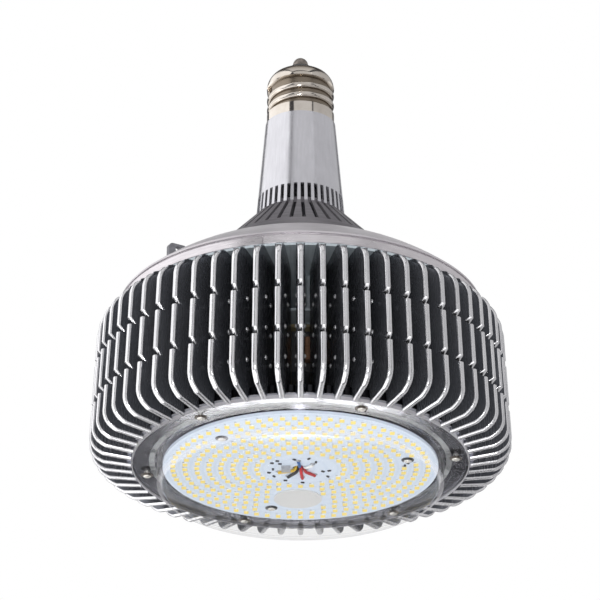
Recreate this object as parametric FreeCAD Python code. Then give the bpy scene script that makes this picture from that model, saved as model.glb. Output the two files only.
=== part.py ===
import FreeCAD, Part
import math
import os

# High bay LED retrofit lamp, built base up, in millimetres.
# The origin is the centre of the lens's flat lower face, and +Z runs up the axis to the screw base.

# Clearances: between pieces that slip into each other, and at the ends of the fins' webs
fit_gap = 0.1
seat_gap = 0.2

# Lens: clear tray with a screwed flange; its tray radius sets the width of the lamp
lens_tray_r = 79.0
lens_wall = 2.0
lens_depth = 13.5
lens_corner_r = 2.6
flange_width = 14.2

# LED board and the pad it lies on
board_margin = 1.0
board_thick = 1.6
pad_drop = 1.6
pad_lap = 0.4
wire_hole_r = 4.6
board_screw_inset = 16.0
board_screw_angles = (225.0, 106.0, -12.0)
blank_r = 13.5
blank_thick = 0.8
blank_centre = (-1.5, 43.0)

# Gasket under the flange
gasket_inset = 1.5
gasket_width = 3.0
gasket_depth = 1.2

# Screws (M3 pan heads)
screw_r = 1.5
head_r = 2.9
head_height = 2.2
head_side = 1.2
head_flat_r = 1.9
screw_bite = 3.6
lens_screw_count = 6
lens_screw_inset = 7.0
lens_screw_start = -8.0

# Base plate of the heat sink, with a slot in its rim for every fin
base_thick = 4.4
base_rim = 2.8
rim_slot_depth = 2.5
rim_tooth_r = 2.2

# Direction of the side that faces the viewer
front_angle = -90.0

# Cooling fins: sheet folded to a narrow channel, open towards the axis and at the top
fin_count = 60
fin_width = 3.5
fin_sheet = 0.8
fin_reach = 21.0
fin_lean = 2.7
fin_rise = 78.6
fin_drop = 6.6
fin_top_bend = 12.0
fin_bottom_bend = 12.4
web_end_angle = 50.0
notch_rises = (28.1, 55.0)
notch_tall = 3.6
notch_deep = 2.4
notch_open = 1.6

# Ring that ties the fins' tops, and the plate that closes it
tie_ring_inset = 11.5
tie_ring_width = 21.7
tie_ring_thick = 1.4
carrier_lap = 10.0
carrier_thick = 1.5
lead_hole_r = 12.0

# Top cover and the hoop round its skirt
cover_sheet = 1.6
hoop_thick = 1.4
hoop_height = 5.4
hoop_edge = 0.5
seam_angle = 258.7
seam_width = 0.6
cover_skirt_height = 6.4
cover_lip = 1.2
cover_lip_height = 1.0
dome_r = 158.0
cover_land_margin = 1.0
cover_bore_inset = 15.0

# Safety cable lug on the dome
lug_angle = 210.0
lug_pitch_r = 79.2
lug_length = 11.5
lug_rise = 6.5
lug_thick = 3.0
lug_hole_r = 1.8
lug_corner_r = 2.5

# Screw base with a coarse round thread, four turns to the inch
skirt_r = 19.7
skirt_height = 6.8
crest_drop = 0.1
thread_pitch = 6.35
thread_depth = 1.9
knuckle_r = 2.0
thread_sink = 0.8
thread_start = 3.0
thread_start_angle = 120.0
thread_stop = 1.5
shell_wall = 2.7
shell_height = 35.0
shell_top_wall = 1.0
shell_mouth_lip = 0.2
shoulder_r = 10.2
plug_height = 7.6
insulator_rise = 3.3
insulator_drop = 3.5
insulator_taper = 1.5
insulator_wall = 1.7
contact_inset = 1.0
contact_foot_rise = 2.2
contact_foot_taper = 2.3
contact_neck = 1.0

# Vented cone and neck
cone_foot_r = 55.5
cone_foot_height = 1.5
cone_ledge = 1.0
cone_wall = 2.0
cone_rise = 32.1
neck_step = 0.7
neck_spread = 5.1
neck_height = 60.7
neck_wall = 2.0
spigot_height = 3.0
vent_count = 40
vent_start = 2.5
vent_width = 2.1
vent_tall = 11.4
vent_reach_r = 46.0

# Driver inside the ring of fins
driver_plate_r = 66.0
driver_clear = 6.0
driver_plate_thick = 1.5
post_r = 3.7
post_length = 21.0
post_inset = 6.0
post_start = -84.0
post_count = 4
circuit_inset = 11.0
circuit_thick = 1.6
spacer_r = 2.5
spacer_length = 3.0
spacer_inset = 7.0
core_size = (26.0, 22.0, 24.0)
core_centre = (8.0, -38.0)
core_window = (16.0, 14.0)
winding_gap = 0.2
winding_corner_r = 3.0
capacitor_r = 8.0
capacitor_length = 26.0
capacitor_places = ((-22.0, 26.0), (0.0, 34.0), (22.0, 26.0))
film_box_size = (14.0, 9.0, 12.0)
film_box_places = ((-14.0, -44.0), (33.0, -30.0))

# Wiring held inside the lamp
lead_r = 1.1
lead_spread = 4.0
lead_bend = 6.0
wire_r = 0.85
wire_wall_gap = 1.05
wire_bend = 2.6
wire_runs = ((163.0, 7.6), (124.0, 7.2), (85.0, 6.8), (46.0, 6.2), (-45.0, 4.2), (-96.0, 5.8))
connector_size = (5.0, 4.0, 2.6)
connector_centre = (-8.0, -2.5)

# Radii that follow from the sizes above
flange_r = lens_tray_r + flange_width
board_r = lens_tray_r - lens_wall - board_margin
board_screw_pitch_r = board_r - board_screw_inset
gasket_mid_r = lens_tray_r + gasket_inset + gasket_width / 2
lens_screw_pitch_r = lens_tray_r + lens_screw_inset
base_r = flange_r + base_rim
fin_outer_r = base_r + fin_reach
fin_top_r = fin_outer_r - fin_lean
fin_inner_r = driver_plate_r + driver_clear
tie_ring_r = fin_top_r - tie_ring_inset
tie_ring_bore_r = tie_ring_r - tie_ring_width
carrier_r = tie_ring_bore_r + carrier_lap
cover_skirt_r = tie_ring_r - hoop_thick - fit_gap
lip_r = cover_skirt_r + cover_lip
cover_land_r = cone_foot_r + cover_land_margin
cover_bore_r = cone_foot_r - cover_bore_inset
neck_top_r = skirt_r + neck_step
neck_foot_r = neck_top_r + neck_spread
crest_r = skirt_r - crest_drop
root_r = crest_r - thread_depth
shell_bore_r = root_r - shell_wall
shell_mouth_r = skirt_r - shoulder_r - shell_mouth_lip
insulator_top_r = shell_mouth_r - insulator_taper
insulator_bore_r = insulator_top_r - insulator_wall
contact_foot_r = insulator_top_r - contact_inset
contact_r = contact_foot_r - contact_foot_taper
post_pitch_r = driver_plate_r - post_inset
circuit_r = driver_plate_r - circuit_inset
spacer_pitch_r = circuit_r - spacer_inset
wire_circle_r = wire_hole_r - wire_r - wire_wall_gap

# Heights that follow from the sizes above
flange_top = lens_depth + lens_wall
board_top = flange_top - pad_drop
board_bottom = board_top - board_thick
base_top = flange_top + base_thick
fin_floor = base_top - fin_drop
fin_top = base_top + fin_rise
tie_top = fin_top + tie_ring_thick
carrier_top = tie_top + carrier_thick
lip_bottom = tie_top + cover_skirt_height
lip_top = lip_bottom + cover_lip_height
dome_centre_z = lip_top - math.sqrt(dome_r ** 2 - lip_r ** 2)
land_z = dome_centre_z + math.sqrt(dome_r ** 2 - cover_land_r ** 2)
cone_top = land_z + cone_rise
neck_top = cone_top + neck_height
shell_top = neck_top + shell_height
insulator_top = shell_top + insulator_rise
driver_plate_top = tie_top - post_length
circuit_top = driver_plate_top - driver_plate_thick - spacer_length
circuit_bottom = circuit_top - circuit_thick
neck_taper = (neck_foot_r - neck_top_r) / neck_height
spigot_r = neck_foot_r - neck_wall - neck_taper * spigot_height - fit_gap
lug_z = dome_centre_z + math.sqrt(dome_r ** 2 - lug_pitch_r ** 2)

# Bends of a fin, as centres in its plane, and the angle by which the web between them leans inwards
low_bend = (fin_outer_r - fin_bottom_bend, fin_floor + fin_bottom_bend)
high_bend = (fin_top_r - fin_top_bend, fin_top - fin_top_bend)
bend_run = low_bend[0] - high_bend[0]
bend_rise = high_bend[1] - low_bend[1]
web_lean = math.atan2(bend_run, bend_rise)
web_lean += math.asin((fin_bottom_bend - fin_top_bend) / math.hypot(bend_run, bend_rise))

AXIS = FreeCAD.Vector(0, 0, 1)
ORIGIN = FreeCAD.Vector(0, 0, 0)


def outline(*steps):
    """Closed face in the XZ plane; a step is a point, or an arc as (x, z, radius, from, to) in degrees."""
    edges = []
    first = None
    last = None

    def join(x, z):
        nonlocal first, last
        point = FreeCAD.Vector(x, 0, z)
        if last is None:
            first = point
        elif point.distanceToPoint(last) > 1e-6:
            edges.append(Part.LineSegment(last, point).toShape())
        last = point

    for step in steps:
        if len(step) == 2:
            join(*step)
            continue
        x, z, radius, start, end = step
        ring = [(x + radius * math.cos(a), z + radius * math.sin(a))
                for a in (math.radians(start), math.radians((start + end) / 2), math.radians(end))]
        join(*ring[0])
        middle = FreeCAD.Vector(ring[1][0], 0, ring[1][1])
        finish = FreeCAD.Vector(ring[2][0], 0, ring[2][1])
        edges.append(Part.Arc(last, middle, finish).toShape())
        last = finish
    join(first.x, first.z)
    return Part.Face(Part.Wire(edges))


def turned(*steps):
    return outline(*steps).revolve(ORIGIN, AXIS, 360)


def swept_wide(face, width):
    """Solid of a face in the XZ plane, centred on that plane."""
    face.translate(FreeCAD.Vector(0, -width / 2, 0))
    return face.extrude(FreeCAD.Vector(0, width, 0))


def rod(radius, low, high, x=0.0, y=0.0):
    return Part.makeCylinder(radius, high - low, FreeCAD.Vector(x, y, low))


def block(size, x, y, low):
    corner = FreeCAD.Vector(x - size[0] / 2, y - size[1] / 2, low)
    return Part.makeBox(size[0], size[1], size[2], corner)


def spun(shape, angle):
    copy = shape.copy()
    copy.rotate(ORIGIN, AXIS, angle)
    return copy


def around(shape, count, start=0.0):
    return [spun(shape, start + 360.0 * i / count) for i in range(count)]


def polar(radius, angle):
    return radius * math.cos(math.radians(angle)), radius * math.sin(math.radians(angle))


def tube(radius, *points, bend):
    """Round wire through points, with its corners rounded to the bend radius."""
    points = [FreeCAD.Vector(*p) for p in points]
    edges = []
    start = points[0]
    for before, corner, after in zip(points, points[1:], points[2:]):
        back = (before - corner).normalize()
        ahead = (after - corner).normalize()
        half = back.getAngle(ahead) / 2
        enter = corner + back * (bend / math.tan(half))
        leave = corner + ahead * (bend / math.tan(half))
        inward = (back + ahead).normalize()
        middle = corner + inward * (bend / math.sin(half) - bend)
        edges.append(Part.LineSegment(start, enter).toShape())
        edges.append(Part.Arc(enter, middle, leave).toShape())
        start = leave
    edges.append(Part.LineSegment(start, points[-1]).toShape())
    section = Part.Wire(Part.makeCircle(radius, points[0], points[1] - points[0]))
    return Part.Wire(edges).makePipeShell([section], True, False)


def lens_screw_angles():
    return [lens_screw_start + 360.0 * i / lens_screw_count for i in range(lens_screw_count)]


def screw(seat):
    """Pan-head screw driven upwards, its head under a seat at the given height."""
    return turned((0, seat - head_height), (head_flat_r, seat - head_height),
                  (head_r, seat - head_side), (head_r, seat),
                  (screw_r, seat), (screw_r, seat + screw_bite), (0, seat + screw_bite))


def lens():
    floor_r = lens_tray_r - lens_corner_r
    tray = turned((0, 0), (floor_r, lens_corner_r, lens_corner_r, -90, 0),
                  (lens_tray_r, lens_depth), (flange_r, lens_depth), (flange_r, flange_top),
                  (lens_tray_r - lens_wall, flange_top),
                  (floor_r, lens_corner_r, lens_corner_r - lens_wall, 0, -90), (0, lens_wall))
    for angle in lens_screw_angles():
        x, y = polar(lens_screw_pitch_r, angle)
        tray = tray.cut(rod(screw_r + fit_gap, lens_depth - 1, flange_top + 1, x, y))
    return tray


def lens_screws():
    return [screw(lens_depth).translated(FreeCAD.Vector(*polar(lens_screw_pitch_r, a), 0))
            for a in lens_screw_angles()]


def lens_gasket():
    half = gasket_width / 2
    return turned((gasket_mid_r - half, flange_top), (gasket_mid_r + half, flange_top),
                  (gasket_mid_r + half, flange_top + gasket_depth),
                  (gasket_mid_r - half, flange_top + gasket_depth))


def led_board():
    board = rod(board_r, board_bottom, board_top)
    board = board.cut(rod(wire_hole_r, board_bottom - 1, board_top + 1))
    for angle in board_screw_angles:
        x, y = polar(board_screw_pitch_r, angle)
        board = board.cut(rod(screw_r + fit_gap, board_bottom - 1, board_top + 1, x, y))
    return board


def board_screws():
    return [screw(board_bottom).translated(FreeCAD.Vector(*polar(board_screw_pitch_r, a), 0))
            for a in board_screw_angles]


def sensor_blank():
    return rod(blank_r, board_bottom - blank_thick, board_bottom, *blank_centre)


def is_tooth_corner(edge):
    box = edge.BoundBox
    upright = box.ZLength > base_thick - 0.1 and box.XLength < 0.1 and box.YLength < 0.1
    return upright and math.hypot(box.XMin, box.YMin) > base_r - 0.1


def base_plate():
    pad_r = board_r + pad_lap
    half = gasket_width / 2 + fit_gap
    plate = turned((wire_hole_r, board_top), (pad_r, board_top), (pad_r, flange_top),
                   (gasket_mid_r - half, flange_top),
                   (gasket_mid_r - half, flange_top + gasket_depth),
                   (gasket_mid_r + half, flange_top + gasket_depth),
                   (gasket_mid_r + half, flange_top), (base_r, flange_top),
                   (base_r, base_top), (wire_hole_r, base_top))
    slot_width = fin_width + 2 * seat_gap
    slot = Part.makeBox(rim_slot_depth + 2, slot_width, base_thick + 2,
                        FreeCAD.Vector(base_r - rim_slot_depth, -slot_width / 2, flange_top - 1))
    plate = plate.cut(around(slot, fin_count, front_angle))
    corners = [e for e in plate.Edges if is_tooth_corner(e)]
    plate = plate.makeFillet(rim_tooth_r, corners)
    holes = []
    for angle in lens_screw_angles():
        x, y = polar(lens_screw_pitch_r, angle)
        holes.append(rod(screw_r + fit_gap, flange_top - 1, lens_depth + screw_bite + fit_gap, x, y))
    for angle in board_screw_angles:
        x, y = polar(board_screw_pitch_r, angle)
        holes.append(rod(screw_r + fit_gap, board_top - 1, board_bottom + screw_bite + fit_gap, x, y))
    return plate.cut(holes)


def web_r(height, inset=0.0):
    """Radius of the leaning web's outer face at a height."""
    foot = low_bend[1] + fin_bottom_bend * math.sin(web_lean)
    return low_bend[0] + fin_bottom_bend * math.cos(web_lean) - (height - foot) * math.tan(web_lean) - inset


def notch_corner(low):
    """Wedge that opens one side of a notch, so that the fold stands free there."""
    side = -fin_width / 2
    deep = notch_deep + 2 * fin_sheet
    points = [FreeCAD.Vector(fin_outer_r - fin_lean - deep, y, z) for y, z in (
        (side - 1, low), (side + notch_open, low), (side - 1, low + notch_tall * (1 + 1 / notch_open)))]
    wedge = Part.Face(Part.makePolygon(points + points[:1]))
    return wedge.extrude(FreeCAD.Vector(deep + fin_lean + 1, 0, 0))


def cooling_fin():
    """One folded fin along +X: outer profile, less the channel between its two walls."""
    lean = math.degrees(web_lean)
    web_start = base_r - rim_slot_depth + seat_gap
    outer_notches = []
    inner_notches = []
    for rise in notch_rises:
        for height, depth in ((0, 0), (0, notch_deep), (notch_tall, 0)):
            level = fin_floor + rise + height
            outer_notches.append((web_r(level, depth), level))
            inner_notches.append((web_r(level, depth + fin_sheet), level))
    blank = outline((fin_inner_r, base_top), (web_start, base_top), (web_start, fin_floor),
                    (*low_bend, fin_bottom_bend, -90, lean), *outer_notches,
                    (*high_bend, fin_top_bend, lean, 90), (fin_inner_r, fin_top))
    end = math.radians(web_end_angle)
    web_exit = (high_bend[0] + (fin_top_bend + 1) * math.cos(end),
                high_bend[1] + (fin_top_bend + 1) * math.sin(end))
    channel = outline((fin_inner_r - 1, fin_floor + fin_sheet),
                      (*low_bend, fin_bottom_bend - fin_sheet, -90, lean), *inner_notches,
                      (*high_bend, fin_top_bend - fin_sheet, lean, web_end_angle), web_exit,
                      (web_exit[0], fin_top + 1), (fin_inner_r - 1, fin_top + 1))
    fin = swept_wide(blank, fin_width).cut(swept_wide(channel, fin_width - 2 * fin_sheet))
    return fin.cut([notch_corner(fin_floor + rise) for rise in notch_rises])


def cooling_fins():
    return around(cooling_fin(), fin_count, front_angle)


def tie_ring():
    return rod(tie_ring_r, fin_top, tie_top).cut(rod(tie_ring_bore_r, fin_top - 1, tie_top + 1))


def carrier_plate():
    return rod(carrier_r, tie_top, carrier_top).cut(rod(lead_hole_r, tie_top - 1, carrier_top + 1))


def top_cover():
    start = math.degrees(math.asin((lip_top - dome_centre_z) / dome_r))
    end = math.degrees(math.asin((land_z - dome_centre_z) / dome_r))
    inside_r = dome_r - cover_sheet
    skirt_in = cover_skirt_r - cover_sheet
    inner_start = math.degrees(math.acos(skirt_in / inside_r))
    inner_end = math.degrees(math.asin((land_z - cover_sheet - dome_centre_z) / inside_r))
    return turned((skirt_in, tie_top), (cover_skirt_r, tie_top), (cover_skirt_r, lip_bottom),
                  (lip_r, lip_bottom), (0, dome_centre_z, dome_r, start, end),
                  (cover_bore_r, land_z), (cover_bore_r, land_z - cover_sheet),
                  (0, dome_centre_z, inside_r, inner_end, inner_start))


def rim_hoop():
    inside = cover_skirt_r + fit_gap
    outside = inside + hoop_thick
    top = tie_top + hoop_height
    hoop = turned((inside, tie_top), (outside - hoop_edge, tie_top), (outside, tie_top + hoop_edge),
                  (outside, top - hoop_edge), (outside - hoop_edge, top), (inside, top))
    slit = Part.makeBox(hoop_thick + 2, seam_width, hoop_height + 2,
                        FreeCAD.Vector(inside - 1, -seam_width / 2, tie_top - 1))
    return hoop.cut(spun(slit, seam_angle))


def safety_lug():
    half = lug_length / 2
    top = lug_z + lug_rise
    corner = half - lug_corner_r
    ear = outline((lug_pitch_r - half, lug_z - half),
                  (lug_pitch_r + half, lug_z - half),
                  (lug_pitch_r + corner, top - lug_corner_r, lug_corner_r, 0, 90),
                  (lug_pitch_r - corner, top - lug_corner_r, lug_corner_r, 90, 180))
    lug = swept_wide(ear, lug_thick)
    hole = Part.makeCylinder(lug_hole_r, lug_thick + 2,
                             FreeCAD.Vector(lug_pitch_r, -lug_thick / 2 - 1, lug_z + lug_rise / 2),
                             FreeCAD.Vector(0, 1, 0))
    ball = Part.makeSphere(dome_r, FreeCAD.Vector(0, 0, dome_centre_z))
    return spun(lug.cut(hole).cut(ball), lug_angle)


def vent_cone():
    """Straight-sided cone on a foot, slotted all round, with a spigot for the neck."""
    foot_top = land_z + cone_foot_height
    flank_r = cone_foot_r - cone_ledge
    slope = (flank_r - neck_foot_r) / (cone_top - foot_top)
    across = cone_wall * math.hypot(1, slope)
    bore_r = spigot_r - cone_wall
    inner_foot_r = flank_r - across + slope * cone_foot_height
    inner_top = land_z + (inner_foot_r - bore_r) / slope
    cone = turned((inner_foot_r, land_z), (cone_foot_r, land_z), (cone_foot_r, foot_top), (flank_r, foot_top),
                  (neck_foot_r, cone_top), (spigot_r, cone_top), (spigot_r, cone_top + spigot_height),
                  (bore_r, cone_top + spigot_height), (bore_r, inner_top))
    slot = Part.makeBox(vent_reach_r - spigot_r, vent_width, cone_rise,
                        FreeCAD.Vector(spigot_r, -vent_width / 2, foot_top))
    return cone.cut(around(slot, vent_count, front_angle + vent_start))


def neck_housing():
    """Tapered sleeve with a ring of open slots at its foot and a plug for the screw shell."""
    plug_r = shell_bore_r - fit_gap
    body = turned((neck_foot_r - neck_wall, cone_top), (neck_foot_r, cone_top), (neck_top_r, neck_top),
                  (plug_r, neck_top), (plug_r, neck_top + plug_height),
                  (plug_r - neck_wall, neck_top + plug_height), (plug_r - neck_wall, neck_top - neck_wall),
                  (neck_top_r - neck_wall, neck_top - neck_wall))
    slot = Part.makeBox(neck_wall + 4, vent_width, vent_tall + 1,
                        FreeCAD.Vector(neck_foot_r - neck_wall - 2, -vent_width / 2, cone_top - 1))
    return body.cut(around(slot, vent_count, front_angle + vent_start))


def screw_shell():
    """Stamped shell: smooth skirt, round helical thread and a rounded shoulder, made at the origin."""
    shoulder_z = shell_height - shoulder_r
    taper = thread_depth / 2
    shell = turned((shell_bore_r, 0), (skirt_r, 0), (skirt_r, skirt_height), (root_r, skirt_height + taper),
                   (root_r, shoulder_z - taper), (skirt_r - shoulder_r, shoulder_z, shoulder_r, 0, 90),
                   (shell_mouth_r, shell_height), (shell_mouth_r, shell_height - shell_top_wall),
                   (shell_bore_r, shoulder_z))
    bead_r = crest_r - knuckle_r
    spread = math.degrees(math.acos((root_r - thread_sink - bead_r) / knuckle_r))
    bead = outline((bead_r, thread_start, knuckle_r, -spread, spread)).OuterWire
    helix = Part.makeHelix(thread_pitch, shoulder_z - thread_stop - thread_start, root_r)
    helix.translate(FreeCAD.Vector(0, 0, thread_start))
    thread = Part.Wire(helix.Edges).makePipeShell([bead], True, True)
    return shell.fuse(spun(thread, thread_start_angle)).translated(FreeCAD.Vector(0, 0, neck_top))


def base_insulator():
    side_r = shell_mouth_r - fit_gap
    return turned((insulator_bore_r, shell_top - insulator_drop), (side_r, shell_top - insulator_drop),
                  (side_r, shell_top), (insulator_top_r, insulator_top), (insulator_bore_r, insulator_top))


def centre_contact():
    dome_z = insulator_top + contact_foot_rise + contact_neck
    return turned((0, insulator_top), (contact_foot_r, insulator_top),
                  (contact_r, insulator_top + contact_foot_rise), (0, dome_z, contact_r, 0, 90))


def driver_plate():
    plate = rod(driver_plate_r, driver_plate_top - driver_plate_thick, driver_plate_top)
    return plate.cut(rod(lead_hole_r, driver_plate_top - driver_plate_thick - 1, driver_plate_top + 1))


def plate_posts():
    post = rod(post_r, driver_plate_top, tie_top, post_pitch_r)
    return around(post, post_count, post_start)


def driver_circuit():
    return rod(circuit_r, circuit_bottom, circuit_top)


def circuit_spacers():
    spacer = rod(spacer_r, circuit_top, circuit_top + spacer_length, spacer_pitch_r)
    return around(spacer, post_count, post_start)


def transformer_core():
    low = circuit_bottom - core_size[2]
    core = block(core_size, *core_centre, low)
    wall = (core_size[0] - core_window[0]) / 2
    window = (core_window[0], core_size[1] + 2, core_size[2] - 2 * wall)
    core = core.cut(block(window, *core_centre, low + wall))
    limb = (wall, core_size[1], core_size[2] - 2 * wall)
    return core.fuse(block(limb, *core_centre, low + wall)).removeSplitter()


def transformer_winding():
    low = circuit_bottom - core_size[2]
    wall = (core_size[0] - core_window[0]) / 2
    tall = core_size[2] - 2 * wall - 2 * winding_gap
    coil = block((core_window[0] - 2 * winding_gap, core_size[1] + core_window[1] - wall, tall),
                 *core_centre, low + wall + winding_gap)
    coil = coil.makeFillet(winding_corner_r, [e for e in coil.Edges if e.BoundBox.ZLength > tall - 0.1])
    limb = (wall + 2 * winding_gap, core_size[1] + 2 * winding_gap, tall + 2)
    return coil.cut(block(limb, *core_centre, low + wall + winding_gap - 1))


def driver_capacitors():
    return [rod(capacitor_r, circuit_bottom - capacitor_length, circuit_bottom, *place)
            for place in capacitor_places]


def film_boxes():
    return [block(film_box_size, *place, circuit_bottom - film_box_size[2]) for place in film_box_places]


def supply_leads():
    """Live lead to the centre contact, and a return lead bent over to the shell."""
    live = rod(lead_r, circuit_top, insulator_top, lead_spread)
    turn_z = neck_top + plug_height + 2 * lead_r
    back = tube(lead_r, (-lead_spread, 0, circuit_top), (-lead_spread, 0, turn_z),
                (-shell_bore_r, 0, turn_z), bend=lead_bend)
    return [live, back]


def board_wires():
    """Wires from the driver, down through the board's hole and out over its face."""
    low = board_bottom - wire_r
    wires = []
    for angle, run in wire_runs:
        x, y = polar(wire_circle_r, angle)
        far = polar(wire_circle_r + wire_bend + run, angle)
        wires.append(tube(wire_r, (x, y, circuit_bottom), (x, y, low), (*far, low), bend=wire_bend))
    return wires


def led_connector():
    return block(connector_size, *connector_centre, board_bottom - connector_size[2])


PIECES = (lens, lens_screws, lens_gasket, led_board, board_screws, sensor_blank, base_plate, cooling_fins,
          tie_ring, carrier_plate, top_cover, rim_hoop, safety_lug, vent_cone, neck_housing, screw_shell,
          base_insulator, centre_contact, driver_plate, plate_posts, driver_circuit, circuit_spacers,
          transformer_core, transformer_winding, driver_capacitors, film_boxes, supply_leads, board_wires,
          led_connector)

os.makedirs("parts", exist_ok=True)
for piece in PIECES:
    made = piece()
    shape = Part.makeCompound(made) if isinstance(made, list) else made
    shape.exportStep("parts/" + piece.__name__ + ".step")
    print(piece.__name__, "solids", len(shape.Solids), "valid", shape.isValid(), "volume", round(shape.Volume))
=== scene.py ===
# %% [markdown]
# # A screw-in high bay LED lamp
# The lamp hangs from a large screw base: a grey neck, a slotted cone, a domed cover, a ring of sixty folded aluminium
# fins and a clear lens over a white LED board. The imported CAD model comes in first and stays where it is. The lesson
# adds what a picture needs: a camera, soft light, finishes, and finer pieces such as the folded fins and the LEDs.

# %% Load the frame
import math

import bmesh
import bpy
from mathutils import Matrix, Vector


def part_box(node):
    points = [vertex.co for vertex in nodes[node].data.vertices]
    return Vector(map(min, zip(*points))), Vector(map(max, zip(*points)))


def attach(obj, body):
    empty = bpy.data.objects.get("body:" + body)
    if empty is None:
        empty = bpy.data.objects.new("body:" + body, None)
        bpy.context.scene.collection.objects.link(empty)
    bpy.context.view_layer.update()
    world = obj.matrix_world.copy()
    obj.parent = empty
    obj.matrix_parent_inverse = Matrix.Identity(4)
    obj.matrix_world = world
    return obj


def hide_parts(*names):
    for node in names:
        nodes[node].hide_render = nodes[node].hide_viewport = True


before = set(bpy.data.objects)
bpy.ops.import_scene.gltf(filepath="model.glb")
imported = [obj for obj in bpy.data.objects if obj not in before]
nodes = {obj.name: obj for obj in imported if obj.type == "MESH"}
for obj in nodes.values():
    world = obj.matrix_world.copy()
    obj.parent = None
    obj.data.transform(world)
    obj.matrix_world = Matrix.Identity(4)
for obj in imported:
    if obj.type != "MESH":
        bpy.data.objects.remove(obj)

MM = 0.001
scene = bpy.context.scene
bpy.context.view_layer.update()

# %% [markdown]
# ## The camera
# The photo was taken from below with a long lens: the ellipse of the lens face and the height of the neck together
# give the pitch. A long focal length keeps the sides of the lamp nearly parallel, as they are in the photo.

# %% Camera
camera_place = Vector((0.0, -1.53397, -0.62887))
camera_pitch = math.radians(25.89)
lens_length = 180.65
sensor_width = 36.0
photo_side = 600
photo_axis_x = 300.5

camera_data = bpy.data.cameras.new("photo_camera")
camera_data.sensor_fit = "HORIZONTAL"
camera_data.sensor_width = sensor_width
camera_data.lens = lens_length
camera_data.shift_x = (photo_side / 2 - photo_axis_x) / photo_side
camera = bpy.data.objects.new("photo_camera", camera_data)
camera.location = camera_place
camera.rotation_euler = (math.pi / 2 + camera_pitch, 0.0, 0.0)
scene.collection.objects.link(camera)
scene.camera = camera
print("camera", lens_length, "mm, pitched up", round(math.degrees(camera_pitch), 1), "degrees")

# %% [markdown]
# ## Floor and room
# Bright metal shows the room more than itself. The room is white to the eye and for the matt surfaces, and nearly
# dark in reflections, so that the soft boxes alone draw the shapes. The Light Path node tells the two apart. The floor
# lies far below, because the lamp hangs high and is seen from underneath.

# %% Floor and room
floor_z = -2.5
floor_half = 14.0
floor_tone = (0.95, 0.95, 0.955, 1.0)
floor_roughness = 0.9
room_tone = (1.0, 1.0, 1.0, 1.0)
mirrored_tone = (0.07, 0.07, 0.077, 1.0)


def new_mesh_object(name, points, faces):
    mesh = bpy.data.meshes.new(name)
    mesh.from_pydata(points, [], faces)
    mesh.update()
    made = bpy.data.objects.new(name, mesh)
    scene.collection.objects.link(made)
    return made


def math_node(tree, operation, first, second=None, clamp=False):
    """Math node whose inputs are sockets or plain numbers; gives back its output."""
    node = tree.nodes.new("ShaderNodeMath")
    node.operation = operation
    node.use_clamp = clamp
    for socket, value in zip(node.inputs, (first, second)):
        if isinstance(value, (int, float)):
            socket.default_value = value
        elif value is not None:
            tree.links.new(value, socket)
    return node.outputs[0]


floor_corners = [(x * floor_half, y * floor_half, floor_z) for x, y in ((-1, -1), (1, -1), (1, 1), (-1, 1))]
floor = new_mesh_object("pale_floor", floor_corners, [(0, 1, 2, 3)])
floor.visible_glossy = False
floor_paint = bpy.data.materials.new("pale_floor")
floor_paint.use_nodes = True
floor_shader = floor_paint.node_tree.nodes["Principled BSDF"]
floor_shader.inputs["Base Color"].default_value = floor_tone
floor_shader.inputs["Roughness"].default_value = floor_roughness
floor.data.materials.append(floor_paint)

world = bpy.data.worlds.new("studio_room")
world.use_nodes = True
room = world.node_tree
light_path = room.nodes.new("ShaderNodeLightPath")
mirrored, scattered = [math_node(room, "GREATER_THAN", light_path.outputs[depth], 0.5)
                       for depth in ("Glossy Depth", "Diffuse Depth")]
room_mix = room.nodes.new("ShaderNodeMix")
room_mix.data_type = "RGBA"
room_mix.inputs["A"].default_value = room_tone
room_mix.inputs["B"].default_value = mirrored_tone
room.links.new(math_node(room, "SUBTRACT", mirrored, scattered, clamp=True), room_mix.inputs["Factor"])
room.links.new(room_mix.outputs["Result"], room.nodes["Background"].inputs["Color"])
scene.world = world
scene.view_settings.view_transform = "Standard"
print("room: white for matt surfaces,", mirrored_tone[0], "in mirrors")

# %% [markdown]
# ## Soft boxes
# The boxes are placed by direction, as seen from the lamp: upright metal mirrors what stands 24 degrees above the
# horizon, and the slanted feet of the fins mirror the floor, which glows at the left and only weakly at the right. A
# narrow gap between the front and the left box leaves a dark line on every upright piece, which shows its roundness.
# The small flash beside the camera picks out the pips between the fins, and a small box behind the lamp leaves the
# glare on the clear lens. Most boxes show in mirrors only; the flash and the top box light matt surfaces as well.

# %% Soft boxes
lamp_middle = Vector((0.0, 0.0, 0.09))
box_distance = 3.0
floor_distance = 2.35
box_power = 4.0


def direction(turn, rise):
    """Unit vector at a turn from the front and a rise above the horizon, in degrees."""
    turn, rise = math.radians(turn), math.radians(rise)
    return Vector((math.sin(turn) * math.cos(rise), -math.cos(turn) * math.cos(rise), math.sin(rise)))


def soft_box(name, turn, rise, wide, tall, brightness, shape="RECTANGLE", distance=box_distance, lights_matt=False):
    """Soft box in a direction from the lamp, with its angular size in degrees."""
    light = bpy.data.lights.new(name, "AREA")
    light.shape = shape
    light.size = 2 * distance * math.tan(math.radians(wide) / 2)
    light.size_y = 2 * distance * math.tan(math.radians(tall) / 2)
    area = light.size * light.size_y * (1.0 if shape == "RECTANGLE" else math.pi / 4)
    light.energy = box_power * brightness * area
    made = bpy.data.objects.new(name, light)
    away = direction(turn, rise)
    made.location = lamp_middle + away * distance
    made.rotation_euler = (-away).to_track_quat("-Z", "Y").to_euler()
    made.visible_camera = False
    made.visible_diffuse = lights_matt
    scene.collection.objects.link(made)


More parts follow.
